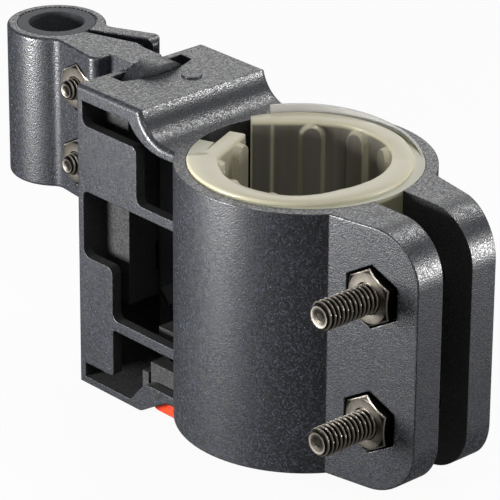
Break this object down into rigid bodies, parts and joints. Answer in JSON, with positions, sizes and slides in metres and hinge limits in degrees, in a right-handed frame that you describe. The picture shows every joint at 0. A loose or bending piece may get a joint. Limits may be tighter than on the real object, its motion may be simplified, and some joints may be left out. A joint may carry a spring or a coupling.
{
  "type": "bike lock bracket",
  "caption": "Bike lock bracket: a slotted clamp that fixes to a frame tube, with a release button, and a small clamp for the lock's shackle that slides into it.",
  "frame": {"origin": "centre of the tube clamp's lined bore, at half the clamp ring's height", "axes": "+Z along the tube, up in the picture; +X from the slide housing through the bore to the clamp ears; +Y from the nuts to the bolt heads"},
  "size_m": [0.1356, 0.0549, 0.0724],
  "materials": {
    "housing": "anthracite glass-filled nylon with a fine spark-eroded texture",
    "liner": "translucent cream soft plastic",
    "rubber_liner": "dark grey rubber",
    "fastener": "black-nickel plated steel",
    "spring_steel": "plain spring steel",
    "button": "red-orange moulded plastic"
  },
  "bodies": {
    "receiver": {"receiver_body": "housing", "outer_liner": "liner", "inner_liner": "liner", "upper_clamp_bolt": "fastener", "lower_clamp_bolt": "fastener", "upper_clamp_nut": "fastener", "lower_clamp_nut": "fastener", "catch_leaf": "spring_steel", "catch_screw": "fastener", "left_button_spring": "spring_steel", "right_button_spring": "spring_steel"},
    "lock_side": {"lock_clamp": "housing", "lock_liner": "rubber_liner", "upper_lock_bolt": "fastener", "lower_lock_bolt": "fastener", "upper_lock_nut": "fastener", "lower_lock_nut": "fastener"},
    "button": {"release_button": "button", "button_slider": "housing"}
  },
  "joints": [
    {"name": "lock_slide", "type": "slide", "parent": "receiver", "child": "lock_side", "axis": [0, 0, 1], "range_m": [0, 0.052], "deforming": ["catch_leaf"]},
    {"name": "button_press", "type": "slide", "parent": "receiver", "child": "button", "axis": [0, 0, 1], "range_m": [0, 0.0025], "stiffness_N_per_m": 600, "springref_m": -0.002, "deforming": ["left_button_spring", "right_button_spring"]}
  ]
}
